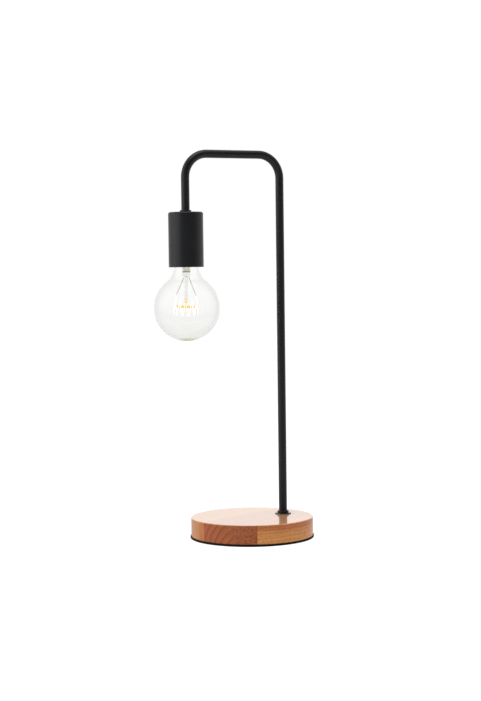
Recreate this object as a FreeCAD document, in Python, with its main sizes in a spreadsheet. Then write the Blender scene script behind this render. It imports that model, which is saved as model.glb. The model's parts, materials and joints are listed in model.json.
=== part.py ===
import FreeCAD, Part
import math
import os
import re

import Sketcher
from FreeCAD import Placement, Rotation, Vector

# Bare bulb table lamp: a round wooden foot, a bent steel tube and a hanging metal cup with a
# clear globe bulb. Millimetres. The origin is the centre of the underside on the table, +Z is up,
# the tube stands at +X and the bulb hangs at -X. The arm lies in the plane Y = 0.

# ---------------------------------------------------------------------------- driving dimensions
SIZES = {
    # foot
    "pad_overhang": 1, "pad_thickness": 2.5, "pad_edge_round": 0.8,
    "wood_radius": 75, "wood_thickness": 23, "wood_top_round": 1.2, "wood_bottom_round": 0.6,
    "rim_width": 17, "recess_depth": 17,
    "plate_thickness": 4, "plate_gap": 2, "hole_clearance": 0.2,
    "plate_screw_inset": 12, "plate_screw_first_angle": 60, "plate_screw_count": 3,
    "plate_screw_radius": 1.75, "plate_screw_head_radius": 3.5, "plate_screw_head_height": 2.2,
    "plate_screw_length": 8.5,
    # tube and what clamps it in the foot
    "stem_inset": 31.4, "arm_reach": 128.3, "bar_height": 469, "bend_radius": 28.5,
    "tube_radius": 5, "tube_wall": 1, "thread_depth": 0.325, "thread_fit": 0.05,
    "foot_washer_radius": 10, "foot_washer_thickness": 1.3, "foot_washer_round": 0.5,
    "foot_nut_radius": 7, "foot_nut_height": 2.4, "foot_nut_round": 0.7,
    "lower_washer_radius": 9.5, "lower_washer_thickness": 1.5,
    "lower_nut_flats": 17, "lower_nut_height": 5, "thread_overhang": 0.8,
    "bush_bore": 3, "bush_clearance": 0.1, "bush_length": 7, "bush_flange": 1,
    # cord inlet and wiring in the foot
    "inlet_x": 0, "inlet_height": 9.8, "inlet_bore": 3.2, "grommet_wall": 1.2,
    "grommet_flange_radius": 6, "grommet_flange": 1.5, "grommet_seat": 0.9, "grommet_lip": 1.2,
    "grommet_lip_rise": 1,
    "block_front": 24, "block_length": 18, "block_width": 17, "block_height": 11,
    "pole_pitch": 8.4, "insert_radius": 2.3, "insert_bore": 1.5, "insert_inset": 1.5,
    "clamp_screw_radius": 1.2, "clamp_screw_head_radius": 1.7, "clamp_screw_setback": 5,
    "block_screw_radius": 1.3, "block_screw_head_radius": 2.4, "block_screw_head_height": 1.6,
    "block_screw_bite": 3,
    "wire_radius": 1.1, "core_radius": 0.5, "wire_spacing": 2.5, "wire_floor_gap": 0.6,
    "stripped_length": 5, "wire_rise_length": 10, "foot_wire_bend": 5.5, "side_wire_bend": 6,
    "slope_wire_bend": 12,
    # hanging cup
    "leg_drop": 69.8, "cup_radius": 21, "cup_height": 66, "cup_wall": 1.4, "cup_edge_round": 2.5,
    "collar_radius": 7, "collar_height": 2.2, "collar_round": 0.8,
    "cup_washer_radius": 12, "cup_washer_thickness": 1,
    # lampholder
    "holder_radius": 18.2, "holder_wall": 2.2, "holder_inset": 1.5, "mouth_radius": 15.9,
    "shell_seat_depth": 6.9, "contact_depth": 29.2, "leaf_space": 2.6, "bridge_thickness": 4,
    "cap_overlap": 2.5, "spigot_height": 5.5, "spigot_gap": 0.15, "cap_boss_radius": 8.5,
    "cap_boss_height": 9, "cap_shoulder_round": 3, "leg_overhang": 0.4,
    "grub_screw_radius": 1.5, "grub_screw_slot": 0.5,
    "thread_pitch": 3.629, "thread_wave": 0.55, "cap_thread_radius": 12.6, "thread_play": 0.3,
    "shell_sheet": 0.4, "shell_height": 17.6, "shell_flange_radius": 15.4, "shell_eye_radius": 10.5,
    "shell_bore_gap": 0.15,
    "post_distance": 9, "post_width": 6, "post_depth": 7, "post_height": 7,
    "post_screw_height": 5, "post_screw_radius": 1.2, "post_screw_head_radius": 1.6,
    "post_screw_head_height": 1.6, "post_hole_depth": 5.5, "splay_drop": 7, "splay_bend": 3,
    "strap_width": 4, "strap_sheet": 0.5, "strap_foot": 2.2, "strap_rise": 3,
    "leaf_width": 6, "leaf_sheet": 0.4, "leaf_gap": 0.3, "leaf_foot_half": 2.3, "leaf_tail": 4,
    "leaf_touch_half": 1.5, "leaf_tail_rise": 0.8, "tip_gap": 0.1,
    "rivet_distance": 10, "rivet_radius": 1.2, "rivet_head_radius": 2, "rivet_head_height": 0.8,
    # bulb
    "bulb_length": 118, "globe_radius": 40, "glass_wall": 0.9, "neck_radius": 15,
    "neck_shoulder": 2.2, "neck_shoulder_round": 1.4, "seal_radius": 11.3, "seal_height": 8,
    "cap_sheet": 0.3, "cap_rim_height": 2.6, "cap_rim_gap": 0.3, "cap_rim_step": 0.1,
    "cap_thread_height": 15, "cap_cone_height": 2.6, "insulator_radius": 8, "insulator_height": 3.4,
    "insulator_neck": 5.6, "insulator_plug": 2, "insulator_bore": 1.4,
    "tip_radius": 4.8, "tip_height": 2.4, "tip_crown": 1.6,
    "flare_wall": 1.1, "flare_round": 4.6, "stem_glass_radius": 4.7, "press_bottom_depth": 11.8,
    "press_height": 9, "press_width": 9.5, "press_thickness": 4.6,
    "rod_radius": 1.75, "button_radius": 2.6, "button_height": 3, "button_round": 0.8,
    "mount_gap": 0.3,
    "mount_turn": -27.5, "mount_tilt": 8, "mount_lean": 2,
    "lead_radius": 0.3, "lead_root": 2.9, "lead_reach": 12, "lead_drop": 23.5,
    "lead_straight": 1,
    "anchors_per_run": 11, "anchor_radius": 0.18, "hub_drop": 37.2, "anchor_bend_reach": 11.8,
    "ring_radius": 14.7, "upper_ring_rise": 6.3, "lower_ring_drop": 8.1, "anchor_hook": 0.5,
    "filament_radius": 0.12, "filament_gap": 0.12,
}

# Heights and radii that follow from the driving dimensions.
DERIVED = {
    "pad_radius": "wood_radius + pad_overhang",
    "recess_radius": "wood_radius - rim_width",
    "plate_screw_circle": "recess_radius - plate_screw_inset",
    "stem_x": "wood_radius - stem_inset",
    "wood_bottom": "pad_thickness",
    "wood_top": "wood_bottom + wood_thickness",
    "recess_top": "wood_bottom + recess_depth",
    "plate_bottom": "recess_top - plate_thickness",
    "tube_hole": "tube_radius + hole_clearance",
    "tube_bore": "tube_radius - tube_wall",
    "thread_radius": "tube_radius - thread_depth",
    "nut_bore": "thread_radius + thread_fit",
    "foot_nut_top": "wood_top + foot_washer_thickness + foot_nut_height",
    "lower_nut_top": "plate_bottom - lower_washer_thickness",
    "stem_end": "lower_nut_top - lower_nut_height - thread_overhang",
    "bush_flange_radius": "thread_radius - bush_clearance",
    "grommet_face": "wood_radius - grommet_seat",
    "block_middle": "block_front + block_length / 2",
    "block_bottom": "plate_bottom - block_height",
    "pole_height": "plate_bottom - block_height / 2",
    "clamp_screw_top": "pole_height - insert_bore / 2",
    "wire_floor": "wood_bottom + wire_radius + wire_floor_gap",
    "socket_x": "stem_x - arm_reach",
    "cup_top": "bar_height - leg_drop",
    "cup_bottom": "cup_top - cup_height",
    "cap_top": "cup_top - cup_wall - cup_washer_thickness",
    "cap_roof": "cap_top - cap_boss_height",
    "leg_end": "cap_roof - holder_wall - leg_overhang",
    "holder_bottom": "cup_bottom + holder_inset",
    "shell_seat": "cup_bottom + shell_seat_depth",
    "shell_top": "shell_seat - shell_sheet + shell_height",
    "contact_level": "cup_bottom + contact_depth",
    "bridge_bottom": "contact_level + leaf_space",
    "bridge_top": "bridge_bottom + bridge_thickness",
    "holder_cap_level": "bridge_top - cap_overlap",
    "cap_bore": "holder_radius - holder_wall",
    "spigot_radius": "cap_bore - spigot_gap",
    "shell_inner_radius": "cap_thread_radius + thread_play",
    "shell_outer_radius": "shell_inner_radius + shell_sheet",
    "shell_bore": "shell_outer_radius + thread_wave + shell_bore_gap",
    "post_top": "bridge_top + post_height",
    "post_screw_level": "bridge_top + post_screw_height",
    "post_face": "post_distance + post_depth / 2",
    "leaf_top": "bridge_bottom - leaf_gap",
    "leaf_touch": "contact_level + tip_gap",
    "globe_height": "contact_level - bulb_length + globe_radius",
    "tip_bottom": "contact_level - tip_height",
    "insulator_bottom": "tip_bottom - insulator_height",
    "cap_thread_top": "insulator_bottom - cap_cone_height",
    "cap_thread_bottom": "cap_thread_top - cap_thread_height",
    "cap_rim_bottom": "cap_thread_bottom - cap_rim_height",
    "cap_rim_radius": "cap_thread_radius + thread_wave + cap_rim_step",
    "neck_top": "cap_rim_bottom - cap_rim_gap",
    "neck_side_top": "neck_top - neck_shoulder",
    "neck_rise": "neck_side_top - globe_height",
    "flare_radius": "(neck_radius^2 + neck_rise^2 - globe_radius^2) / (2 * (globe_radius - neck_radius))",
    "flare_share": "globe_radius / (globe_radius + flare_radius)",
    "seal_top": "neck_top + seal_height",
    "press_bottom": "seal_top - seal_height - press_bottom_depth - neck_shoulder",
    "press_top": "press_bottom + press_height",
    "rod_length": "hub_drop + button_height / 2",
}

doc = FreeCAD.newDocument("bare_bulb_table_lamp")
sheet = doc.addObject("Spreadsheet::Sheet", "sizes")


def fill_sheet():
    """Write every driving dimension as a plain number and every derived one as a formula."""
    rows = [(name, str(number)) for name, number in SIZES.items()]
    rows += [(name, "=" + formula) for name, formula in DERIVED.items()]
    for row, (name, content) in enumerate(rows, start=1):
        sheet.set(f"A{row}", name)
        sheet.set(f"B{row}", content)
        sheet.setAlias(f"B{row}", name)
    doc.recompute()


def bound(text):
    """An expression over the sheet's names, as the document's objects read it."""
    known = lambda word: word.group() in SIZES or word.group() in DERIVED
    return re.sub(r"[a-z_]+", lambda word: "sizes." + word.group() if known(word) else word.group(), text)


def size(text):
    """The present value of an expression over the sheet's names."""
    result = sheet.evalExpression(bound(text))
    return float(result.Value if hasattr(result, "Value") else result)


# ---------------------------------------------------------------------------- sketches and solids
def new_body(name, x="0", y="0", z="0", rotation=Rotation()):
    """A body at its place; its features are drawn about its own origin."""
    body = doc.addObject("PartDesign::Body", name)
    body.Label = name
    body.Placement = Placement(Vector(), rotation)
    for axis, text in zip("xyz", (x, y, z)):
        body.setExpression(f"Placement.Base.{axis}", bound(text))
    return body


def new_sketch(body, plane, offset="0"):
    """A sketch on one of the body's own planes, moved along the plane's normal."""
    sketch = body.newObject("Sketcher::SketchObject", f"{body.Name}_sketch")
    support = next(item for item in body.Origin.OriginFeatures if item.Role == plane)
    sketch.AttachmentSupport = [(support, "")]
    sketch.MapMode = "FlatFace"
    sketch.setExpression("AttachmentOffset.Base.z", bound(offset))
    return sketch


def pin_point(sketch, index, end, x, y):
    """Tie one end of a sketch curve to expressions for its place."""
    for kind, axis, text in (("DistanceX", -2, x), ("DistanceY", -1, y)):
        if abs(size(text)) < 1e-9:
            sketch.addConstraint(Sketcher.Constraint("PointOnObject", index, end, axis))
        else:
            number = sketch.addConstraint(Sketcher.Constraint(kind, -1, 1, index, end, size(text)))
            sketch.setExpression(f"Constraints[{number}]", bound(text))


def arc_between(start, stop, radius):
    """The short arc from start to stop: counter-clockwise for a positive radius."""
    chord = stop - start
    reach = math.sqrt(max(radius * radius - chord.Length ** 2 / 4, 0))
    normal = Vector(-chord.y, chord.x, 0).normalize()
    centre = (start + stop) * 0.5 + normal * reach * (1 if radius > 0 else -1)
    first, last = (start, stop) if radius > 0 else (stop, start)
    begin = math.atan2(first.y - centre.y, first.x - centre.x)
    finish = math.atan2(last.y - centre.y, last.x - centre.x)
    if finish < begin:
        finish += 2 * math.pi
    return Part.ArcOfCircle(Part.Circle(centre, Vector(0, 0, 1), abs(radius)), begin, finish)


def draw_outline(sketch, steps, closed=True):
    """Draw lines and arcs through steps (x, y) or (x, y, arc radius); the third value bends the
    stretch that arrives there, counter-clockwise when it is positive."""
    points = [Vector(size(step[0]), size(step[1]), 0) for step in steps]
    curves = []
    for place in range(0 if closed else 1, len(steps)):
        start, stop, step = points[place - 1], points[place], steps[place]
        if len(step) == 2:
            index = sketch.addGeometry(Part.LineSegment(start, stop), False)
            curves.append((index, 1, 2, step))
            continue
        radius = size(step[2])
        index = sketch.addGeometry(arc_between(start, stop, radius), False)
        number = sketch.addConstraint(Sketcher.Constraint("Radius", index, abs(radius)))
        sketch.setExpression(f"Constraints[{number}]", bound(f"abs({step[2]})"))
        curves.append((index, 1, 2, step) if radius > 0 else (index, 2, 1, step))
    if not closed:
        pin_point(sketch, curves[0][0], curves[0][1], steps[0][0], steps[0][1])
    for place, (index, begin, end, step) in enumerate(curves):
        pin_point(sketch, index, end, step[0], step[1])
        if closed or place + 1 < len(curves):
            following = curves[(place + 1) % len(curves)]
            sketch.addConstraint(Sketcher.Constraint("Coincident", index, end, following[0], following[1]))


def draw_circle(sketch, x, y, radius):
    """A circle whose centre and radius follow expressions."""
    circle = Part.Circle(Vector(size(x), size(y), 0), Vector(0, 0, 1), size(radius))
    index = sketch.addGeometry(circle, False)
    pin_point(sketch, index, 3, x, y)
    number = sketch.addConstraint(Sketcher.Constraint("Radius", index, size(radius)))
    sketch.setExpression(f"Constraints[{number}]", bound(radius))


def draw_box(sketch, x, y, width, height):
    """A rectangle about the point (x, y)."""
    left, right = f"({x}) - ({width}) / 2", f"({x}) + ({width}) / 2"
    low, high = f"({y}) - ({height}) / 2", f"({y}) + ({height}) / 2"
    draw_outline(sketch, [(left, low), (right, low), (right, high), (left, high)])


def revolve(body, sketch):
    """Turn a sketch of the XZ plane about the body's Z axis."""
    feature = body.newObject("PartDesign::Revolution", f"{body.Name}_turned")
    feature.Profile = sketch
    feature.ReferenceAxis = (sketch, ["V_Axis"])
    feature.Angle = 360
    return feature


def pad(body, sketch, length, midplane=False):
    """Raise a sketch along its normal, or to both sides of its plane."""
    feature = body.newObject("PartDesign::Pad", f"{body.Name}_pad")
    feature.Profile = sketch
    feature.setExpression("Length", bound(length))
    feature.Midplane = midplane
    return feature


def pocket(body, sketch, length="", along_normal=True):
    """Cut a sketch's shape out of the body, to a depth or right through."""
    doc.recompute()
    before = body.Shape.Volume
    feature = body.newObject("PartDesign::Pocket", f"{body.Name}_pocket")
    feature.Profile = sketch
    feature.Reversed = along_normal
    if length:
        feature.setExpression("Length", bound(length))
    else:
        feature.Type = "ThroughAll"
    doc.recompute()
    if body.Shape.Volume >= before:
        raise ValueError(f"{body.Name}: a pocket removed nothing")
    return feature


def turned(name, steps, x="0", y="0", z="0", rotation=Rotation()):
    """A piece turned about its own Z axis from an outline of radii and heights."""
    body = new_body(name, x, y, z, rotation)
    sketch = new_sketch(body, "XZ_Plane")
    draw_outline(sketch, steps)
    revolve(body, sketch)
    return body


def ring(name, bore, radius, height, x, z, top_round=""):
    """A flat ring; its upper outer edge may be rounded."""
    steps = [(bore, "0"), (radius, "0")]
    if top_round:
        steps += [(radius, f"{height} - {top_round}"), (f"{radius} - {top_round}", height, top_round)]
    else:
        steps += [(radius, height)]
    return turned(name, steps + [(bore, height)], x, "0", z)


def make_feature(name, shape, placement=Placement()):
    """A piece whose shape is worked out in this file from the sheet's values."""
    feature = doc.addObject("Part::Feature", name)
    feature.Label = name
    feature.Shape = shape
    feature.Placement = placement
    return feature


def cylinder(radius, height, base, direction=Vector(0, 0, 1)):
    return Part.makeCylinder(radius, height, base, direction)


def screw_shape(radius, length, head_radius, head_height, slot):
    """A slotted screw along +Z whose head lies below the origin."""
    shank = cylinder(radius, length, Vector(0, 0, 0))
    head = cylinder(head_radius, head_height, Vector(0, 0, -head_height))
    cut = Part.makeBox(2 * head_radius, slot, head_height / 2, Vector(-head_radius, -slot / 2, -head_height))
    return shank.fuse(head).cut(cut).removeSplitter()


def copies(shape, placements):
    """Separate copies of one solid, one at each placement."""
    solids = []
    for placement in placements:
        solid = shape.copy()
        solid.Placement = placement
        solids.append(solid)
    return Part.makeCompound(solids)


# ---------------------------------------------------------------------------- wires and threads
def rounded_path(points, radii):
    """Straight runs through the points, joined at each inner point by a tangent arc."""
    edges = []
    here = points[0]
    for before, corner, after, radius in zip(points, points[1:], points[2:], radii):
        arriving = (corner - before).normalize()
        leaving = (after - corner).normalize()
        turn = arriving.getAngle(leaving)
        setback = radius * math.tan(turn / 2)
        start, stop = corner - arriving * setback, corner + leaving * setback
        toward_centre = (leaving - arriving).normalize()
        middle = corner + toward_centre * (radius / math.cos(turn / 2) - radius)
        edges.append(Part.LineSegment(here, start).toShape())
        edges.append(Part.Arc(start, middle, stop).toShape())
        here = stop
    edges.append(Part.LineSegment(here, points[-1]).toShape())
    return Part.Wire(edges)


def round_wire(points, radii, radius):
    """A solid wire of round section along straight runs and arcs."""
    path = rounded_path(points, radii)
    direction = points[1] - points[0]
    section = Part.Wire([Part.makeCircle(radius, points[0], direction)])
    solid = path.makePipeShell([section], True, False)
    expected = math.pi * radius ** 2 * path.Length
    if abs(solid.Volume - expected) > 0.01 * expected:
        raise ValueError(f"a wire of {solid.Volume:.3f} mm3 should hold {expected:.3f} mm3")
    return solid


def thread_solid(radius, bottom, top):
    """A rounded single-start thread: round sections set off the axis by the thread's wave, each
    turned a little further than the one below it. Their turn depends on their height alone, so
    nut and screw fit each other."""
    pitch, wave = size("thread_pitch"), size("thread_wave")
    count = math.ceil((top - bottom) / pitch * SECTIONS_PER_TURN)
    sections = []
    for number in range(count + 1):
        level = bottom + (top - bottom) * number / count
        turn = 2 * math.pi * (level - size("shell_seat")) / pitch
        centre = Vector(wave * math.cos(turn), wave * math.sin(turn), level)
        sections.append(Part.Wire([Part.makeCircle(radius, centre)]))
    return Part.makeLoft(sections, True)


fill_sheet()
AXIS_X = Vector(1, 0, 0)
AXIS_Y = Vector(0, 1, 0)
AXIS_Z = Vector(0, 0, 1)
SETTLING_ROUNDS = 12
SECTIONS_PER_TURN = 6


# ---------------------------------------------------------------------------- foot
def make_foot():
    turned("base_pad", [
        ("0", "0"), ("pad_radius - pad_edge_round", "0"),
        ("pad_radius", "pad_edge_round", "pad_edge_round"), ("pad_radius", "pad_thickness"),
        ("0", "pad_thickness")])

    wood = turned("wood_base", [
        ("0", "recess_top"), ("recess_radius", "recess_top"), ("recess_radius", "wood_bottom"),
        ("wood_radius - wood_bottom_round", "wood_bottom"),
        ("wood_radius", "wood_bottom + wood_bottom_round", "wood_bottom_round"),
        ("wood_radius", "wood_top - wood_top_round"),
        ("wood_radius - wood_top_round", "wood_top", "wood_top_round"), ("0", "wood_top")])
    tube_hole = new_sketch(wood, "XY_Plane")
    draw_circle(tube_hole, "stem_x", "0", "tube_hole")
    pocket(wood, tube_hole)
    pilots = new_sketch(wood, "XY_Plane", "recess_top")
    draw_plate_screw_circles(pilots, "plate_screw_radius + thread_fit")
    pocket(wood, pilots, "plate_screw_length - plate_thickness + hole_clearance")
    inlet = new_sketch(wood, "XZ_Plane")
    draw_circle(inlet, "inlet_x", "inlet_height", "inlet_bore + grommet_wall + thread_fit")
    pocket(wood, inlet, along_normal=False)
    seat = new_sketch(wood, "XZ_Plane", "-grommet_face")
    draw_circle(seat, "inlet_x", "inlet_height", "grommet_flange_radius + hole_clearance")
    pocket(wood, seat, along_normal=False)

    plate = new_body("weight_plate", z="plate_bottom")
    disc = new_sketch(plate, "XY_Plane")
    draw_circle(disc, "0", "0", "recess_radius - plate_gap")
    draw_circle(disc, "stem_x", "0", "tube_hole")
    draw_circle(disc, "0", "block_middle", "block_screw_radius + thread_fit")
    draw_plate_screw_circles(disc, "plate_screw_radius + hole_clearance")
    pad(plate, disc, "plate_thickness")

    screw = screw_shape(size("plate_screw_radius"), size("plate_screw_length"),
                        size("plate_screw_head_radius"), size("plate_screw_head_height"),
                        size("plate_screw_radius / 2"))
    places = [Placement(Vector(size(x), size(y), size("plate_bottom")), Rotation())
              for x, y in plate_screw_places()]
    make_feature("plate_screws", copies(screw, places))


def plate_screw_places():
    """The screws of the weight plate, evenly round the foot's centre."""
    places = []
    for number in range(round(size("plate_screw_count"))):
        angle = f"(plate_screw_first_angle + {number} * 360 / plate_screw_count)"
        places.append((f"plate_screw_circle * cos({angle})", f"plate_screw_circle * sin({angle})"))
    return places


def draw_plate_screw_circles(sketch, radius):
    for x, y in plate_screw_places():
        draw_circle(sketch, x, y, radius)


def make_grommet():
    """The cord's inlet faces +Y: a bush with a flange outside and a lip inside the wall."""
    lip = "grommet_lip_rise"
    wall = "(grommet_face - sqrt(recess_radius^2 - (inlet_bore + grommet_wall + grommet_lip_rise)^2))"
    outer = "inlet_bore + grommet_wall"
    turned("cord_grommet", [
        ("inlet_bore", f"-{wall} - grommet_lip - hole_clearance"),
        (f"{outer} + {lip} / 2", f"-{wall} - grommet_lip - hole_clearance"),
        (f"{outer} + {lip}", f"-{wall} - hole_clearance"),
        (outer, f"-{wall} - hole_clearance"), (outer, "0"),
        ("grommet_flange_radius", "0"),
        ("grommet_flange_radius", "grommet_flange / 2"),
        ("grommet_flange_radius - grommet_flange / 2", "grommet_flange", "grommet_flange / 2"),
        ("inlet_bore", "grommet_flange")],
        "inlet_x", "grommet_face", "inlet_height", Rotation(AXIS_X, -90))


# ---------------------------------------------------------------------------- tube and fasteners
def make_stem():
    stem = new_body("stem_tube")
    section = new_sketch(stem, "XY_Plane", "stem_end")
    draw_circle(section, "stem_x", "0", "tube_radius")
    draw_circle(section, "stem_x", "0", "tube_bore")
    route = new_sketch(stem, "XZ_Plane")
    draw_outline(route, [
        ("stem_x", "stem_end"), ("stem_x", "bar_height - bend_radius"),
        ("stem_x - bend_radius", "bar_height", "bend_radius"),
        ("socket_x + bend_radius", "bar_height"),
        ("socket_x", "bar_height - bend_radius", "bend_radius"),
        ("socket_x", "leg_end")], closed=False)
    pipe = stem.newObject("PartDesign::AdditivePipe", "stem_tube_pipe")
    pipe.Profile = section
    pipe.Spine = (route, [f"Edge{number}" for number in range(1, 6)])
    doc.recompute()
    ends = (("stem_x", "stem_end", "foot_nut_top - stem_end"),
            ("socket_x", "leg_end", "cup_top + collar_height - leg_end"))
    for x, level, length in ends:
        thread = new_sketch(stem, "XY_Plane", level)
        draw_circle(thread, x, "0", "tube_radius + tube_wall")
        draw_circle(thread, x, "0", "thread_radius")
        pocket(stem, thread, length)


def make_bush(name, x, z, rotation):
    """A plastic bush that keeps the tube's end from chafing the wires."""
    turned(name, [
        ("bush_bore", "-bush_flange"), ("bush_flange_radius", "-bush_flange"),
        ("bush_flange_radius", "0"), ("tube_bore - bush_clearance", "0"),
        ("tube_bore - bush_clearance", "bush_length"), ("bush_bore", "bush_length")],
        x, "0", z, rotation)


def make_stem_fasteners():
    ring("foot_washer", "tube_hole", "foot_washer_radius", "foot_washer_thickness",
         "stem_x", "wood_top", "foot_washer_round")
    ring("foot_nut", "nut_bore", "foot_nut_radius", "foot_nut_height",
         "stem_x", "wood_top + foot_washer_thickness", "foot_nut_round")
    ring("lower_washer", "tube_hole", "lower_washer_radius", "lower_washer_thickness",
         "stem_x", "lower_nut_top")
    nut = new_body("lower_nut", "stem_x", "0", "lower_nut_top - lower_nut_height")
    hexagon = new_sketch(nut, "XY_Plane")
    corners = [(f"lower_nut_flats / sqrt(3) * cos({60 * corner})",
                f"lower_nut_flats / sqrt(3) * sin({60 * corner})") for corner in range(6)]
    draw_outline(hexagon, corners)
    draw_circle(hexagon, "0", "0", "nut_bore")
    pad(nut, hexagon, "lower_nut_height")
    ring("cup_collar", "nut_bore", "collar_radius", "collar_height",
         "socket_x", "cup_top", "collar_round")
    ring("cup_washer", "tube_hole", "cup_washer_radius", "cup_washer_thickness",
         "socket_x", "cap_top")
    make_bush("lower_bush", "stem_x", "stem_end", Rotation())
    make_bush("upper_bush", "socket_x", "leg_end", Rotation())


# ---------------------------------------------------------------------------- wiring
def make_terminal_block():
    """A two-pole block under the weight plate, with its bores along Y."""
    block = new_body("terminal_block", z="block_bottom")
    outline = new_sketch(block, "XY_Plane")
    draw_box(outline, "0", "block_middle", "block_width", "block_length")
    draw_circle(outline, "0", "block_middle", "block_screw_radius + hole_clearance")
    pad(block, outline, "block_height")
    bores = new_sketch(block, "XZ_Plane", "-block_front")
    access = new_sketch(block, "XY_Plane")
    for side in (-1, 1):
        pole = f"{side} * pole_pitch / 2"
        draw_circle(bores, pole, "block_height / 2", "insert_radius + thread_fit")
        for end in (-1, 1):
            along = f"block_middle + {end} * (block_length / 2 - clamp_screw_setback)"
            draw_circle(access, pole, along, "clamp_screw_head_radius + hole_clearance")
    pocket(block, bores, along_normal=False)
    pocket(block, access, "block_height / 2")
    head_seat = new_sketch(block, "XY_Plane")
    draw_circle(head_seat, "0", "block_middle", "block_screw_head_radius + hole_clearance")
    pocket(block, head_seat, "block_screw_head_height + hole_clearance")

    length = size("block_length - 2 * insert_inset")
    tube = cylinder(size("insert_radius"), length, Vector(), AXIS_Y)
    tube = tube.cut(cylinder(size("insert_bore"), length, Vector(), AXIS_Y))
    for end in (-1, 1):
        along = length / 2 + end * size("block_length / 2 - clamp_screw_setback")
        tube = tube.cut(cylinder(size("clamp_screw_radius + thread_fit"), size("insert_radius"),
                                 Vector(0, along, 0), -AXIS_Z))
    places = [Placement(Vector(side * size("pole_pitch / 2"), size("block_front + insert_inset"),
                               size("pole_height")), Rotation()) for side in (-1, 1)]
    make_feature("terminal_inserts", copies(tube, places))

    top, bottom = size("clamp_screw_top"), size("pole_height - insert_radius")
    screw = screw_shape(size("clamp_screw_radius"), top - bottom + size("hole_clearance"),
                        size("clamp_screw_head_radius"), size("clamp_screw_radius"),
                        size("clamp_screw_radius / 2"))
    places = []
    for side in (-1, 1):
        for end in (-1, 1):
            along = size(f"block_middle + {end} * (block_length / 2 - clamp_screw_setback)")
            places.append(Placement(Vector(side * size("pole_pitch / 2"), along,
                                           bottom - size("hole_clearance")), Rotation()))
    make_feature("terminal_screws", copies(screw, places))

    screw = screw_shape(size("block_screw_radius"),
                        size("block_height - block_screw_head_height + block_screw_bite"),
                        size("block_screw_head_radius"), size("block_screw_head_height"),
                        size("block_screw_radius / 2"))
    seat = Vector(0, size("block_middle"), size("block_bottom + block_screw_head_height"))
    make_feature("block_screw", screw, Placement(seat, Rotation()))


def make_wire(name, side):
    """One insulated wire from the block, through the whole tube, to its post in the lampholder."""
    pole = side * size("pole_pitch / 2")
    lane = side * size("wire_spacing / 2")
    post = side * size("post_distance")
    front, level = size("block_front"), size("pole_height")
    floor, rise = size("wire_floor"), size("wire_rise_length")
    stem, socket, bar = size("stem_x"), size("socket_x"), size("bar_height")
    leg_end, post_top, stripped = size("leg_end"), size("post_top"), size("stripped_length")
    splay = leg_end - size("bush_flange")
    points = [
        Vector(pole, front, level),
        Vector(pole, front - rise / 2, level),
        Vector(pole, lane, floor),
        Vector(stem, lane, floor),
        Vector(stem, lane, bar),
        Vector(socket, lane, bar),
        Vector(socket, lane, splay),
        Vector(socket, post, splay - size("splay_drop")),
        Vector(socket, post, post_top),
    ]
    bend, small = size("bend_radius"), size("splay_bend")
    radii = [size("slope_wire_bend"), size("side_wire_bend"), size("foot_wire_bend"), bend, bend,
             small, small]
    print(f"{name}: bend radii {radii}")
    cover = round_wire(points, radii, size("wire_radius"))
    core = size("core_radius")
    foot_end = cylinder(core, stripped, points[0], AXIS_Y)
    holder_end = cylinder(core, stripped, points[-1], -AXIS_Z)
    make_feature(name, cover.fuse([foot_end, holder_end]))


# ---------------------------------------------------------------------------- cup and lampholder
def make_cup():
    inner_round = "(cup_edge_round - cup_wall)"
    turned("socket_cup", [
        ("cup_radius - cup_wall", "0"), ("cup_radius", "0"),
        ("cup_radius", "cup_height - cup_edge_round"),
        ("cup_radius - cup_edge_round", "cup_height", "cup_edge_round"),
        ("tube_hole", "cup_height"), ("tube_hole", "cup_height - cup_wall"),
        ("cup_radius - cup_edge_round", "cup_height - cup_wall"),
        ("cup_radius - cup_wall", "cup_height - cup_edge_round", f"-{inner_round}")],
        "socket_x", "0", "cup_bottom")


def make_holder_cap():
    roof = "(cap_roof - holder_cap_level)"
    height = "(cap_top - holder_cap_level)"
    cap = turned("holder_cap", [
        ("cap_bore", "0"), ("holder_radius", "0"),
        ("holder_radius", f"{roof} - cap_shoulder_round"),
        ("holder_radius - cap_shoulder_round", roof, "cap_shoulder_round"),
        ("cap_boss_radius", roof), ("cap_boss_radius", height), ("nut_bore", height),
        ("nut_bore", f"{roof} - holder_wall"), ("cap_bore", f"{roof} - holder_wall")],
        "socket_x", "0", "holder_cap_level")
    middle = f"{height} - cap_boss_height / 2"
    hole = new_sketch(cap, "XZ_Plane")
    draw_circle(hole, "0", middle, "grub_screw_radius + thread_fit")
    pocket(cap, hole, along_normal=True)

    bore = size("nut_bore")
    length = size("cap_boss_radius") - bore
    screw = cylinder(size("grub_screw_radius"), length, Vector(0, -bore, 0), -AXIS_Y)
    slot = size("grub_screw_slot")
    width = 2 * size("grub_screw_radius")
    cut = Part.makeBox(width, slot, slot, Vector(-width / 2, -bore - length, -slot / 2))
    place = Vector(size("socket_x"), 0, size("cap_top - cap_boss_height / 2"))
    make_feature("grub_screw", screw.cut(cut), Placement(place, Rotation()))


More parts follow.
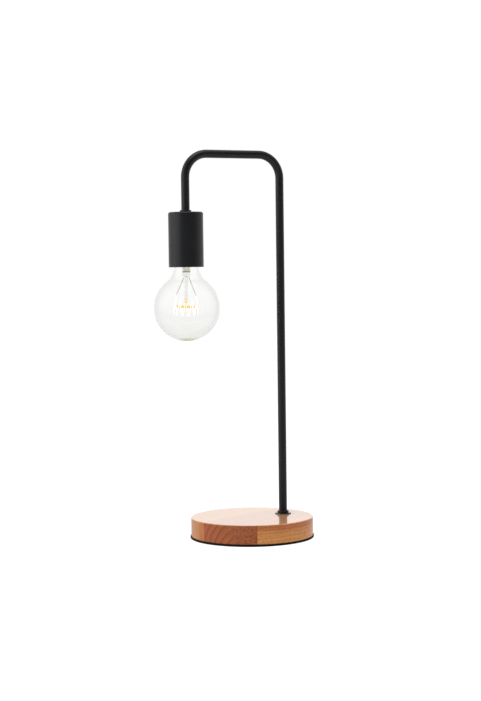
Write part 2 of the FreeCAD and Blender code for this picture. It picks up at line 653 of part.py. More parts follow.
def make_lampholder_body():
    body = turned("lampholder_body", [
        ("mouth_radius", "holder_bottom"), ("holder_radius", "holder_bottom"),
        ("holder_radius", "holder_cap_level"), ("spigot_radius", "holder_cap_level"),
        ("spigot_radius", "holder_cap_level + spigot_height"),
        ("shell_bore", "holder_cap_level + spigot_height"), ("shell_bore", "bridge_top"),
        ("0", "bridge_top"), ("0", "bridge_bottom"), ("shell_bore", "bridge_bottom"),
        ("shell_bore", "shell_seat"), ("mouth_radius", "shell_seat")], "socket_x")
    holes = new_sketch(body, "XY_Plane", "bridge_bottom")
    draw_circle(holes, "0", "rivet_distance", "rivet_radius + thread_fit")
    draw_box(holes, "0", "-(post_face + strap_sheet / 2)", "strap_width + 2 * hole_clearance",
             "strap_sheet + 2 * hole_clearance")
    pocket(body, holes, "bridge_thickness")


def make_screw_shell():
    """The holder's threaded sleeve, with a flange at its mouth and a drawn-in eye at its top."""
    bottom, top = size("shell_seat - shell_sheet"), size("shell_top")
    inner, outer, sheet_metal = size("shell_inner_radius"), size("shell_outer_radius"), size("shell_sheet")
    shell = thread_solid(outer, bottom, top)
    flange = cylinder(size("shell_flange_radius"), sheet_metal, Vector(0, 0, bottom))
    hollow = thread_solid(inner, bottom, top - sheet_metal)
    eye = cylinder(size("shell_eye_radius"), 2 * sheet_metal, Vector(0, 0, top - 1.5 * sheet_metal))
    shell = shell.fuse(flange).cut(hollow).cut(eye)
    make_feature("screw_shell", shell, Placement(Vector(size("socket_x"), 0, 0), Rotation()))


def make_holder_contacts():
    strap = new_body("shell_strap", "socket_x")
    side = new_sketch(strap, "YZ_Plane")
    inner, outer = "-post_face", "-(post_face + strap_sheet)"
    draw_outline(side, [
        (outer, "shell_top"), ("-(post_face - strap_foot)", "shell_top"),
        ("-(post_face - strap_foot)", "shell_top + strap_sheet"), (inner, "shell_top + strap_sheet"),
        (inner, "bridge_top + strap_rise"), (outer, "bridge_top + strap_rise")])
    pad(strap, side, "strap_width", midplane=True)

    leaf = new_body("centre_contact", "socket_x")
    side = new_sketch(leaf, "YZ_Plane")
    far, near = "rivet_distance + leaf_foot_half", "rivet_distance - leaf_foot_half"
    low = "leaf_touch"
    tail = "leaf_touch + leaf_tail_rise"
    draw_outline(side, [
        (far, "leaf_top - leaf_sheet"), (far, "leaf_top"), (near, "leaf_top"),
        ("leaf_touch_half", f"{low} + leaf_sheet"), ("-leaf_touch_half", f"{low} + leaf_sheet"),
        ("-leaf_tail", f"{tail} + leaf_sheet"), ("-leaf_tail", tail),
        ("-leaf_touch_half", low), ("leaf_touch_half", low), (near, "leaf_top - leaf_sheet")])
    pad(leaf, side, "leaf_width", midplane=True)
    hole = new_sketch(leaf, "XY_Plane", "leaf_touch")
    draw_circle(hole, "0", "rivet_distance", "rivet_radius + hole_clearance")
    pocket(leaf, hole)

    clear = "hole_clearance"
    turned("leaf_rivet", [
        ("0", f"leaf_top - leaf_sheet - {clear} - rivet_head_height"),
        ("rivet_head_radius - rivet_head_height / 2",
         f"leaf_top - leaf_sheet - {clear} - rivet_head_height"),
        ("rivet_head_radius", f"leaf_top - leaf_sheet - {clear} - rivet_head_height / 2",
         "rivet_head_height / 2"),
        ("rivet_head_radius", f"leaf_top - leaf_sheet - {clear}"),
        ("rivet_radius", f"leaf_top - leaf_sheet - {clear}"), ("rivet_radius", "bridge_top"),
        ("0", "bridge_top")], "socket_x", "rivet_distance")

    width, depth = size("post_width"), size("post_depth")
    post = Part.makeBox(width, depth, size("post_height"), Vector(-width / 2, -depth / 2, 0))
    hole_depth = size("post_hole_depth")
    wire_hole = cylinder(size("core_radius + hole_clearance"), hole_depth,
                         Vector(0, 0, size("post_height") - hole_depth))
    screw_level = size("post_screw_height")
    screw_hole = cylinder(size("post_screw_radius + thread_fit"), depth / 2,
                          Vector(0, 0, screw_level), AXIS_Y)
    post = post.cut(wire_hole).cut(screw_hole)
    facings = ((1, Rotation()), (-1, Rotation(AXIS_Z, 180)))
    places = [Placement(Vector(size("socket_x"), side * size("post_distance"), size("bridge_top")),
                        facing) for side, facing in facings]
    make_feature("holder_posts", copies(post, places))

    length = size("post_depth / 2 - core_radius")
    screw = screw_shape(size("post_screw_radius"), length, size("post_screw_head_radius"),
                        size("post_screw_head_height"), size("post_screw_radius / 2"))
    places = [Placement(Vector(size("socket_x"), side * size("post_face"), size("post_screw_level")),
                        Rotation(AXIS_X, 90 * side)) for side in (1, -1)]
    make_feature("holder_screws", copies(screw, places))


# ---------------------------------------------------------------------------- bulb
def make_globe():
    """One blown wall: globe, flared neck, and the narrow end that is sealed inside the cap."""
    touch_x = "flare_share * (neck_radius + flare_radius)"
    touch_z = "flare_share * neck_rise"
    inner_share = "((globe_radius - glass_wall) / globe_radius)"
    shoulder = "(neck_rise + neck_shoulder)"
    top = "(seal_top - globe_height)"
    inner_round = "(neck_shoulder_round - glass_wall)"
    turned("bulb_glass", [
        ("0", "-globe_radius"),
        ("globe_radius", "0", "globe_radius"),
        (touch_x, touch_z, "globe_radius"),
        ("neck_radius", "neck_rise", "-flare_radius"),
        ("neck_radius", f"{shoulder} - neck_shoulder_round"),
        ("neck_radius - neck_shoulder_round", shoulder, "neck_shoulder_round"),
        ("seal_radius", shoulder), ("seal_radius", top),
        ("seal_radius - glass_wall", top),
        ("seal_radius - glass_wall", f"{shoulder} - glass_wall"),
        ("neck_radius - neck_shoulder_round", f"{shoulder} - glass_wall"),
        ("neck_radius - glass_wall", f"{shoulder} - neck_shoulder_round", f"-{inner_round}"),
        ("neck_radius - glass_wall", "neck_rise"),
        (f"{inner_share} * {touch_x}", f"{inner_share} * {touch_z}", "flare_radius + glass_wall"),
        ("globe_radius - glass_wall", "0", "-(globe_radius - glass_wall)"),
        ("0", "-(globe_radius - glass_wall)", "-(globe_radius - glass_wall)")],
        "socket_x", "0", "globe_height")


def make_bulb_cap():
    """The thin threaded cap: rim, thread and a cone that holds the black insulator."""
    rim, low, high = size("cap_rim_bottom"), size("cap_thread_bottom"), size("cap_thread_top")
    sheet_metal, radius = size("cap_sheet"), size("cap_thread_radius")
    cone_height = size("cap_cone_height")
    root = radius - size("thread_wave + cap_rim_step")
    neck = size("insulator_radius")
    slim = sheet_metal * 1.2
    outside = thread_solid(radius, low, high)
    outside = outside.fuse(cylinder(size("cap_rim_radius"), low - rim, Vector(0, 0, rim)))
    outside = outside.fuse(Part.makeCone(root, neck, cone_height, Vector(0, 0, high)))
    inside = thread_solid(radius - sheet_metal, low, high)
    inside = inside.fuse(cylinder(size("cap_rim_radius") - sheet_metal, low - rim, Vector(0, 0, rim)))
    inside = inside.fuse(Part.makeCone(root - slim, neck - slim, cone_height, Vector(0, 0, high)))
    place = Placement(Vector(size("socket_x"), 0, 0), Rotation())
    make_feature("bulb_cap", outside.cut(inside), place)

    ring("cap_cement", "seal_radius", "cap_rim_radius - cap_sheet", "cap_rim_height",
         "socket_x", "cap_rim_bottom")
    turned("cap_insulator", [
        ("insulator_bore", "-insulator_plug"), ("insulator_neck", "-insulator_plug"),
        ("insulator_neck", "0"), ("insulator_radius", "0"),
        ("insulator_radius", "insulator_height / 4"), ("tip_radius", "insulator_height"),
        ("insulator_bore", "insulator_height")],
        "socket_x", "0", "insulator_bottom")
    turned("tip_contact", [
        ("0", "0"), ("tip_radius", "0"), ("tip_radius", "tip_height - tip_crown"),
        ("tip_radius - tip_crown", "tip_height", "tip_crown"), ("0", "tip_height")],
        "socket_x", "0", "tip_bottom")


def make_glass_stem():
    """The flared glass tube that closes the neck, pinched flat round the lead wires."""
    outer, wall = "stem_glass_radius", "flare_wall"
    stem = turned("glass_stem", [
        (f"{outer} - {wall}", "press_top - press_height / 3"), (outer, "press_top - press_height / 3"),
        (outer, "seal_top - flare_wall - flare_round"),
        (f"{outer} + flare_round", "seal_top - flare_wall", "-flare_round"),
        ("seal_radius - glass_wall - hole_clearance / 2", "seal_top - flare_wall"),
        ("seal_radius - glass_wall - hole_clearance / 2", "seal_top"),
        (f"{outer} + flare_round", "seal_top"),
        (f"{outer} - {wall}", "seal_top - flare_wall - flare_round", "flare_round + flare_wall")],
        "socket_x", "0", "0", Rotation(AXIS_Z, size("mount_turn")))
    press = new_sketch(stem, "XY_Plane", "press_bottom")
    half = "(press_width / 2 - press_thickness / 2)"
    edge = "press_thickness / 2"
    draw_outline(press, [
        (f"-{half}", f"-{edge}", edge), (half, f"-{edge}"), (f"{half} + {edge}", "0", edge),
        (half, edge, edge), (f"-{half}", edge), (f"-{half} - {edge}", "0", edge)])
    pad(stem, press, "press_height")


def mount_placement():
    """The wires' frame: it starts at the pinch and hangs a little askew, as in hand-made bulbs."""
    turn = Rotation(AXIS_Z, size("mount_turn"))
    askew = Rotation(AXIS_X, size("mount_tilt")) * Rotation(AXIS_Y, size("mount_lean"))
    return Placement(Vector(size("socket_x"), 0, size("press_bottom")), turn * askew)


def make_rod():
    """A glass rod from the pinch down to the button that holds the anchors."""
    turned("glass_rod", [
        ("0", "-rod_length"), ("button_radius - button_round", "-rod_length"),
        ("button_radius", "button_round - rod_length", "button_round"),
        ("button_radius", "button_height - button_round - rod_length"),
        ("button_radius - button_round", "button_height - rod_length", "button_round"),
        ("rod_radius", "button_height - rod_length"), ("rod_radius", "-mount_gap"),
        ("0", "-mount_gap")], "socket_x", "0", "press_bottom", mount_placement().Rotation)


def make_leads():
    """Two lead wires that spread from the pinch to the filament's ends."""
    solids = []
    for side in (-1, 1):
        root, end = side * size("lead_root"), side * size("lead_reach")
        gap, straight = size("mount_gap"), size("lead_straight")
        points = [Vector(root, 0, -gap), Vector(root, 0, -gap - straight),
                  Vector(end, 0, -size("lead_drop"))]
        solids.append(round_wire(points, [straight], size("lead_radius")))
    make_feature("lead_wires", Part.makeCompound(solids), mount_placement())


def anchor_runs():
    """Angle and height of each anchor's hook, low and high in turn, for the two halves of the
    ring between the leads. Each half starts and ends low."""
    count = round(size("anchors_per_run"))
    runs = []
    for start in (0, math.pi):
        run = []
        for number in range(1, count + 1):
            height = -size("lower_ring_drop") if number % 2 else size("upper_ring_rise")
            run.append((start + math.pi * number / (count + 1), height - size("hub_drop")))
        runs.append(run)
    return runs


def make_anchors():
    """Thin wires that fan out of the button and turn up or down to hold the filament."""
    solids = []
    hub = -size("hub_drop")
    for angle, height in anchor_runs()[0] + anchor_runs()[1]:
        outward = Vector(math.cos(angle), math.sin(angle), 0)
        bend, reach = size("anchor_bend_reach"), size("ring_radius - anchor_hook")
        points = [outward * size("button_radius + filament_gap") + Vector(0, 0, hub),
                  outward * bend + Vector(0, 0, hub),
                  outward * reach + Vector(0, 0, height),
                  outward * size("ring_radius + anchor_hook") + Vector(0, 0, height)]
        radius = size("anchor_hook")
        solids.append(round_wire(points, [radius, radius / 2], size("anchor_radius")))
    make_feature("anchor_wires", Part.makeCompound(solids), mount_placement())


def wrapped(centres, radius):
    """The corners of a path whose arcs of one radius run round the given centres. Each corner
    moves as its neighbours do, so they are settled in a few rounds."""
    corners = list(centres)
    for _ in range(SETTLING_ROUNDS):
        for number in range(1, len(centres) - 1):
            back = (corners[number - 1] - corners[number]).normalize()
            ahead = (corners[number + 1] - corners[number]).normalize()
            half_angle = back.getAngle(ahead) / 2
            outward = (back + ahead).normalize() * (-radius / math.sin(half_angle))
            corners[number] = centres[number] + outward
    return corners


def make_filament():
    """Two runs in parallel, each bent round half of the hooks on its way from lead to lead."""
    bend = size("anchor_radius + filament_radius + filament_gap")
    beside_lead = size("lead_radius + filament_radius + filament_gap")
    reach, drop = size("lead_reach"), size("lead_drop")
    solids = []
    for run, side in zip(anchor_runs(), (1, -1)):
        centres = [Vector(side * reach, side * beside_lead, -drop)]
        for angle, height in run:
            outward = Vector(math.cos(angle), math.sin(angle), 0) * size("ring_radius")
            centres.append(outward + Vector(0, 0, height))
        centres.append(Vector(-side * reach, side * beside_lead, -drop))
        solids.append(round_wire(wrapped(centres, bend), [bend] * len(run), size("filament_radius")))
    make_feature("filament", Part.makeCompound(solids), mount_placement())


def make_cap_leads():
    """Copper leads from the pinch up through the glass stem: to the tip and to the cap's rim."""
    radius = size("lead_radius")
    low, high = size("press_top + mount_gap"), size("seal_top")
    offset = size("stem_glass_radius - flare_wall") / 2
    to_tip = [Vector(offset, 0, low), Vector(offset, 0, high), Vector(0, 0, size("insulator_bottom")),
              Vector(0, 0, size("tip_bottom"))]
    side = size("seal_radius") - size("glass_wall") / 2
    edge = size("cap_thread_radius - thread_wave - cap_sheet") - radius * 1.5
    to_rim = [Vector(-offset, 0, low), Vector(-offset, 0, high + size("cap_sheet") + 3 * radius),
              Vector(-edge, 0, high + size("cap_sheet") + 6 * radius)]
    solids = [round_wire(to_tip, [2, 2], radius), round_wire(to_rim, [1], radius)]
    turn = Rotation(AXIS_Z, size("mount_turn"))
    make_feature("cap_leads", Part.makeCompound(solids), Placement(Vector(size("socket_x"), 0, 0), turn))


# ---------------------------------------------------------------------------- build and write
def check_document():
    """Stop on any failed object and on any empty or faulty piece."""
    failed = [item.Name for item in doc.Objects if {"Invalid", "Error"} & set(item.State)]
    if failed:
        raise ValueError(f"failed objects: {failed}")
    for piece in pieces():
        if piece.Shape.isNull() or not piece.Shape.isValid() or not piece.Shape.Solids:
            raise ValueError(f"{piece.Label}: no valid solid")


def pieces():
    """Every sub-part: the bodies and the free features."""
    kinds = ("PartDesign::Body", "Part::Feature")
    return [item for item in doc.Objects if item.TypeId in kinds]


make_foot()
make_grommet()
make_stem()
make_stem_fasteners()
make_terminal_block()
make_wire("live_wire", 1)
make_wire("neutral_wire", -1)
make_cup()
make_holder_cap()
make_lampholder_body()
make_screw_shell()
make_holder_contacts()
make_globe()
make_bulb_cap()
make_glass_stem()
make_rod()
make_leads()
make_anchors()
make_filament()
make_cap_leads()
doc.recompute()
check_document()

os.makedirs("parts", exist_ok=True)
for piece in pieces():
    piece.Shape.exportStep(f"parts/{piece.Label}.step")
    print(f"{piece.Label}: {len(piece.Shape.Solids)} solid(s), {piece.Shape.Volume:.1f} mm3")
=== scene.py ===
import json
import math

import bpy
from mathutils import Matrix, Vector


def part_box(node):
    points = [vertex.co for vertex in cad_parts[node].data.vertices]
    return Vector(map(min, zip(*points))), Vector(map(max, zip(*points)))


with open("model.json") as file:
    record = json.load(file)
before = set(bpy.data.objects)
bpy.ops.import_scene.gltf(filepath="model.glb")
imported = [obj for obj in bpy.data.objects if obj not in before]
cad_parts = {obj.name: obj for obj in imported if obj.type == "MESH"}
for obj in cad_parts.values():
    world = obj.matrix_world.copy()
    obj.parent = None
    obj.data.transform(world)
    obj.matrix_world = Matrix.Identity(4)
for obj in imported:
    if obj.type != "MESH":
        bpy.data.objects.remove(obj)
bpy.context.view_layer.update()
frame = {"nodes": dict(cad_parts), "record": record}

# Bare bulb table lamp: looks, studio and camera. Metres, in the CAD frame: the origin is the
# centre of the underside, +Z is up, the tube stands at +X and the bulb hangs at -X.

# ---------------------------------------------------------------------------- places in the frame
GLOBE_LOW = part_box("bulb_glass")[0].z
BULB_X = (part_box("tip_contact")[0].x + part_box("tip_contact")[1].x) / 2
ROD_LOW, ROD_TOP = (corner.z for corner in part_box("glass_rod"))
WOOD_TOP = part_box("wood_base")[1].z
HUB = ROD_LOW + 0.0015                      # the middle of the ring of anchor wires
SEAM = ROD_TOP + 0.0055                     # the brown line across the glass stem
HOOK_RADIUS, HUB_GLOW_RADIUS = 0.0140, 0.0105

# The foot is glued from three staves, measured across the grain. A pith is (across, up).
GRAIN_TURN = math.radians(22.5)
RIGHT_JOINT, LEFT_JOINT = -0.0527, 0.0135
RIGHT_PITH, MIDDLE_PITH, LEFT_PITH = (-0.075, -0.085), (-0.045, -0.010), (0.115, -0.030)
MOTTLED_UP_TO, RINGS_FROM = -0.034, -0.022  # the middle stave changes its figure between these
YELLOW_BAND = 0.031
UPPER_LAYER = 0.0182                        # the right stave is redder above this height
RINGS_PER_METRE = 125.0

CAMERA_AZIMUTH = math.radians(27.48)
CAMERA_DISTANCE = 2.0807
CAMERA_HEIGHT = 0.3442
CAMERA_YAW = math.radians(-0.32)
CAMERA_PITCH = math.radians(3.14)
CAMERA_ROLL = math.radians(0.72)
FOCAL_PIXELS, IMAGE_HEIGHT = 1700, 701
SENSOR = 36                                 # millimetres, as Blender counts a lens

VIEW = Vector((math.sin(CAMERA_AZIMUTH), math.cos(CAMERA_AZIMUTH), 0))
RIGHT = Vector((math.cos(CAMERA_AZIMUTH), -math.sin(CAMERA_AZIMUTH), 0))


# ---------------------------------------------------------------------------- node materials
class Surface:
    """A node material: every helper returns a socket that can feed the next one."""

    def __init__(self, name, **constants):
        self.material = bpy.data.materials.new(name)
        self.material.use_nodes = True
        self.tree = self.material.node_tree
        self.shader = self.tree.nodes["Principled BSDF"]
        self.place = self.add("ShaderNodeTexCoord").outputs["Object"]
        for socket, value in constants.items():
            self.shader.inputs[socket.replace("_", " ")].default_value = value

    def add(self, kind, inputs=None, **settings):
        item = self.tree.nodes.new(kind)
        for name, value in settings.items():
            setattr(item, name, value)
        for name, value in (inputs or {}).items():
            self.feed(item.inputs[name], value)
        return item

    def feed(self, socket, value):
        if isinstance(value, bpy.types.NodeSocket):
            self.tree.links.new(value, socket)
        else:
            socket.default_value = value

    def math(self, operation, first, second=0.0, third=0.0):
        return self.add("ShaderNodeMath", {0: first, 1: second, 2: third},
                        operation=operation).outputs[0]

    def distance(self, first, second):
        """How far apart two measures are."""
        return self.math("ABSOLUTE", self.math("SUBTRACT", first, second))

    def length(self, first, second):
        """The hypotenuse over two measures."""
        return self.math("SQRT", self.math("ADD", self.math("MULTIPLY", first, first),
                                           self.math("MULTIPLY", second, second)))

    def stretched(self, scales, turn=0.0):
        """The object's own coordinates, turned about Z and scaled along each axis."""
        mapping = self.add("ShaderNodeMapping", {
            "Vector": self.place, "Rotation": (0, 0, turn)})
        scaled = self.add("ShaderNodeVectorMath", {0: mapping.outputs[0], 1: scales},
                          operation="MULTIPLY")
        return scaled.outputs[0]

    def noise(self, scale, detail=2.0, roughness=0.5, vector=None):
        return self.add("ShaderNodeTexNoise", {
            "Vector": vector or self.place, "Scale": scale, "Detail": detail,
            "Roughness": roughness}).outputs["Fac"]

    def bands(self, position, scale, detail=2.0):
        """Irregular bands along one measure, such as the distance from a tree's pith."""
        return self.add("ShaderNodeTexNoise", {
            "W": position, "Scale": scale, "Detail": detail}, noise_dimensions="1D").outputs["Fac"]

    def rise(self, value, low, high, bottom=0.0, top=1.0):
        """A clamped ramp from bottom to top while value goes from low to high."""
        return self.add("ShaderNodeMapRange", {
            "Value": value, "From Min": low, "From Max": high, "To Min": bottom,
            "To Max": top}, interpolation_type="SMOOTHSTEP").outputs[0]

    def facing(self):
        """0 where the surface faces the ray, 1 where it grazes it."""
        return self.add("ShaderNodeLayerWeight", {"Blend": 0.5}).outputs["Facing"]

    def mix(self, factor, first, second):
        item = self.add("ShaderNodeMix", data_type="RGBA")
        for number, value in ((0, factor), (6, first), (7, second)):
            self.feed(item.inputs[number], value)
        return item.outputs[2]

    def blend(self, factor, first, second):
        item = self.add("ShaderNodeMix", data_type="FLOAT")
        for number, value in ((0, factor), (2, first), (3, second)):
            self.feed(item.inputs[number], value)
        return item.outputs[0]

    def bump(self, height, distance, strength=1.0):
        return self.add("ShaderNodeBump", {
            "Height": height, "Distance": distance, "Strength": strength}).outputs["Normal"]

    def axis(self, name, vector=None):
        parts = self.add("ShaderNodeSeparateXYZ", {"Vector": vector or self.place})
        return parts.outputs[name]

    def paint(self, **sockets):
        for name, value in sockets.items():
            self.feed(self.shader.inputs[name.replace("_", " ")], value)
        return self.material


def rgb(red, green, blue):
    """A linear colour with full alpha."""
    return (red, green, blue, 1.0)


def paint_black(skin, drift):
    """The paint's near-black colour, which drifts a little."""
    return skin.mix(drift, rgb(0.0050, 0.0050, 0.0056), rgb(0.0085, 0.0085, 0.0092))


def black_paint():
    """Satin powder coat: a fine orange-peel skin with slight drifts in gloss."""
    skin = Surface("black_paint", Specular_IOR_Level=0.29, Specular_Tint=rgb(0.93, 0.95, 1.0))
    peel = skin.noise(1400, 3, 0.6)
    drift = skin.noise(60, 3)
    return skin.paint(
        Base_Color=paint_black(skin, drift),
        Roughness=skin.rise(drift, 0.3, 0.7, 0.36, 0.43),
        Normal=skin.bump(peel, 0.00006, 0.5))


def gloss_paint():
    """The same black on the washer at the foot, smooth enough to mirror the backdrop."""
    skin = Surface("gloss_paint", Specular_IOR_Level=0.5)
    drift = skin.noise(220, 3)
    return skin.paint(
        Base_Color=paint_black(skin, drift),
        Roughness=skin.rise(drift, 0.3, 0.7, 0.10, 0.18),
        Normal=skin.bump(drift, 0.00003, 0.4))


def black_foam():
    """Dense foam rubber with an open-cell skin."""
    foam = Surface("black_foam", Specular_IOR_Level=0.2)
    voronoi = foam.add("ShaderNodeTexVoronoi", {"Vector": foam.place, "Scale": 1500})
    cells = voronoi.outputs["Distance"]
    return foam.paint(
        Base_Color=foam.mix(cells, rgb(0.003, 0.0025, 0.0025), rgb(0.009, 0.008, 0.008)),
        Roughness=foam.rise(cells, 0.1, 0.6, 0.75, 0.95),
        Normal=foam.bump(cells, 0.00015, 0.7))


def wood():
    """Three glued staves of lacquered hardwood: growth rings about each stave's own pith, pores
    drawn out along the grain, and a clear coat over all."""
    board = Surface("lacquered_wood", Coat_Roughness=0.03, Coat_IOR=1.45, IOR=1.5,
                    Specular_IOR_Level=0.1)

    def grained(scale, detail, roughness, *stretch):
        return board.noise(scale, detail, roughness, board.stretched(stretch, -GRAIN_TURN))

    along_grain = board.stretched((1, 1, 1), -GRAIN_TURN)
    across, height = board.axis("Y", along_grain), board.axis("Z", along_grain)
    is_left = board.math("GREATER_THAN", across, LEFT_JOINT)
    is_right = board.math("LESS_THAN", across, RIGHT_JOINT)

    pith_across, pith_height = (
        board.blend(is_left, board.blend(is_right, middle, right), left)
        for middle, right, left in zip(MIDDLE_PITH, RIGHT_PITH, LEFT_PITH))
    wander = board.math("MULTIPLY_ADD", grained(60, 3, 0.5, 0.25, 1, 1), 0.005, -0.0025)
    reach = board.length(board.math("SUBTRACT", across, pith_across),
                         board.math("SUBTRACT", height, pith_height))
    radius = board.math("ADD", reach, wander)
    wide_rings = board.rise(board.bands(radius, 190, 1), 0.36, 0.64)
    fine_rings = board.rise(board.bands(radius, 620, 3), 0.35, 0.65)
    fibres = grained(1, 4, 0.6, 90, 1300, 1300)
    pores = board.rise(grained(1, 2, 0.5, 160, 950, 950), 0.62, 0.72)
    flecks = board.rise(grained(1, 2, 0.5, 230, 620, 620), 0.60, 0.70)
    mottle = board.rise(grained(1, 3, 0.6, 120, 420, 420), 0.42, 0.62)
    cloud = grained(38, 3, 0.55, 0.35, 1, 1)

    # Middle stave: dark late wood in every year's ring, breaking up into mottle to the right.
    year = board.math("FRACT", board.math("MULTIPLY_ADD", radius, RINGS_PER_METRE, 0.15))
    late_wood = board.math("MULTIPLY", board.rise(year, 0.10, 0.48),
                           board.rise(year, 0.50, 0.62, 1.0, 0.0))
    late_wood = board.math("MAXIMUM", late_wood, board.math("MULTIPLY", wide_rings, 0.35))
    figure = board.blend(board.rise(across, MOTTLED_UP_TO, RINGS_FROM), mottle, late_wood)
    middle = board.mix(figure, rgb(0.45, 0.100, 0.027), rgb(0.22, 0.040, 0.011))

    # Left stave: orange with one yellow band.
    left = board.mix(wide_rings, rgb(0.61, 0.190, 0.050), rgb(0.54, 0.152, 0.039))
    in_band = board.rise(board.distance(across, YELLOW_BAND), 0.003, 0.011, 1.0, 0.0)
    left = board.mix(in_band, left, rgb(0.60, 0.262, 0.058))

    # Right stave: yellowish below and redder above, with a wavy line between.
    lower = board.mix(wide_rings, rgb(0.84, 0.380, 0.104), rgb(0.70, 0.250, 0.064))
    upper = board.mix(wide_rings, rgb(0.64, 0.205, 0.054), rgb(0.48, 0.128, 0.033))
    wavy_height = board.math("ADD", height, board.math("MULTIPLY", wander, 0.25))
    right = board.mix(board.rise(wavy_height, UPPER_LAYER, UPPER_LAYER + 0.0003), lower, upper)

    colour = board.mix(is_left, board.mix(is_right, middle, right), left)
    for amount, tone in (
            (board.math("MULTIPLY", fine_rings, 0.22), rgb(0.27, 0.085, 0.035)),
            (board.rise(cloud, 0.35, 0.75, 0.0, 0.30), rgb(0.30, 0.095, 0.036)),
            (board.rise(fibres, 0.3, 0.7, 0.0, 0.18), rgb(0.62, 0.34, 0.16)),
            (board.math("MULTIPLY", pores, 0.60), rgb(0.17, 0.042, 0.016)),
            (board.math("MULTIPLY", flecks, board.blend(is_left, 0.55, 0.1)),
             rgb(0.30, 0.075, 0.022))):
        colour = board.mix(amount, colour, tone)
    # Painted sheen: the top face is painted paler and less figured, standing in for the clear coat's
    # reflection of the white backdrop.
    painted_sheen_top = board.rise(height, WOOD_TOP - 0.0008, WOOD_TOP - 0.0002)
    colour = board.mix(board.math("MULTIPLY", painted_sheen_top, 0.55), colour, rgb(0.54, 0.33, 0.17))
    near_joint = board.math("MINIMUM", board.distance(across, RIGHT_JOINT),
                            board.distance(across, LEFT_JOINT))
    glue = board.rise(near_joint, 0.0, 0.00035, 0.45, 0.0)
    relief = board.math("SUBTRACT", board.math("MULTIPLY", fibres, 0.4), pores)
    return board.paint(
        Base_Color=board.mix(glue, colour, rgb(0.14, 0.045, 0.02)),
        Coat_Weight=board.rise(height, WOOD_TOP - 0.0012, WOOD_TOP - 0.0002, 0.40, 1.0),
        Roughness=board.rise(fibres, 0.3, 0.7, 0.38, 0.5),
        Normal=board.bump(relief, 0.00004, 0.5))


def bulb_glass():
    """Clear glass, grey at its edge and toward its underside, with an olive painted reflection of the
    wooden foot at its bottom.
    The low index keeps the thin wall from bending what is behind it."""
    glass = Surface("bulb_glass", Transmission_Weight=1.0, IOR=1.15, Roughness=0.0)
    height = glass.axis("Z")
    clear = glass.mix(glass.noise(22, 1, 0.4), rgb(1.0, 1.0, 1.0), rgb(0.98, 0.98, 0.975))
    tint = glass.mix(glass.rise(height, GLOBE_LOW + 0.060, GLOBE_LOW), clear,
                     rgb(0.925, 0.925, 0.91))
    tint = glass.mix(glass.rise(glass.facing(), 0.22, 0.75), tint, rgb(0.875, 0.88, 0.872))
    # Painted reflection: the olive spot at the very bottom stands in for the wooden foot reflected in
    # the glass.
    tint = glass.mix(glass.rise(height, GLOBE_LOW + 0.0030, GLOBE_LOW + 0.0008), tint,
                     rgb(0.60, 0.57, 0.28))
    depth = glass.add("ShaderNodeVolumeAbsorption")
    depth.inputs["Color"].default_value = rgb(0.62, 0.64, 0.60)
    depth.inputs["Density"].default_value = 14.0
    output = glass.tree.nodes["Material Output"]
    glass.tree.links.new(depth.outputs[0], output.inputs["Volume"])
    return glass.paint(Base_Color=tint)


def mount_glass():
    """The stem's and rod's glass: greenish with dark edges, and a painted orange glow where it nears
    the hub.
    """
    glass = Surface("mount_glass", Transmission_Weight=0.92, IOR=1.52)
    height = glass.axis("Z")
    streak = glass.noise(1, 3, 0.5, glass.stretched((900, 900, 60)))
    tint = glass.mix(streak, rgb(0.84, 0.86, 0.80), rgb(0.99, 0.99, 0.95))
    tint = glass.mix(glass.rise(glass.facing(), 0.35, 0.85, 0.0, 0.85), tint,
                     rgb(0.34, 0.26, 0.21))
    at_seam = glass.rise(glass.distance(height, SEAM), 0.0004, 0.0012, 0.8, 0.0)
    tint = glass.mix(at_seam, tint, rgb(0.33, 0.13, 0.07))
    # Painted glow: near the hub the glass is coloured orange and made to shine, standing in for the
    # filament's light on it.
    painted_hub_glow = glass.rise(height, HUB + 0.014, HUB + 0.002)
    return glass.paint(
        Base_Color=glass.mix(painted_hub_glow, tint, rgb(0.95, 0.50, 0.16)),
        Roughness=glass.rise(streak, 0.3, 0.7, 0.02, 0.10),
        Emission_Color=glass.mix(painted_hub_glow, rgb(0.9, 0.5, 0.2), rgb(1.0, 0.36, 0.06)),
        Emission_Strength=glass.math("MULTIPLY", glass.math("POWER", painted_hub_glow, 2.0), 0.20),
        Normal=glass.bump(streak, 0.00008, 0.5))


def metal(name, light, dark, rough_low, rough_high, grain=700, depth=0.00003):
    """Plated or bare metal with fine drawn marks and patches of tarnish."""
    plate = Surface(name, Metallic=1.0)
    marks = plate.noise(1, 3, 0.6, plate.stretched((grain, grain, grain * 3)))
    patches = plate.noise(120, 3)
    return plate.paint(
        Base_Color=plate.mix(plate.rise(patches, 0.35, 0.75), light, dark),
        Roughness=plate.rise(marks, 0.3, 0.7, rough_low, rough_high),
        Normal=plate.bump(marks, depth, 0.5))


def plastic(name, light, dark, rough_low, rough_high, grain=900, depth=0.00005, clear=0.0):
    """Moulded plastic, cement or insulation with a fine uneven skin."""
    skin = Surface(name, Transmission_Weight=clear)
    speck = skin.noise(grain, 3, 0.6)
    drift = skin.noise(90, 2)
    return skin.paint(
        Base_Color=skin.mix(skin.rise(drift, 0.3, 0.7), light, dark),
        Roughness=skin.rise(speck, 0.3, 0.7, rough_low, rough_high),
        Normal=skin.bump(speck, depth, 0.5))


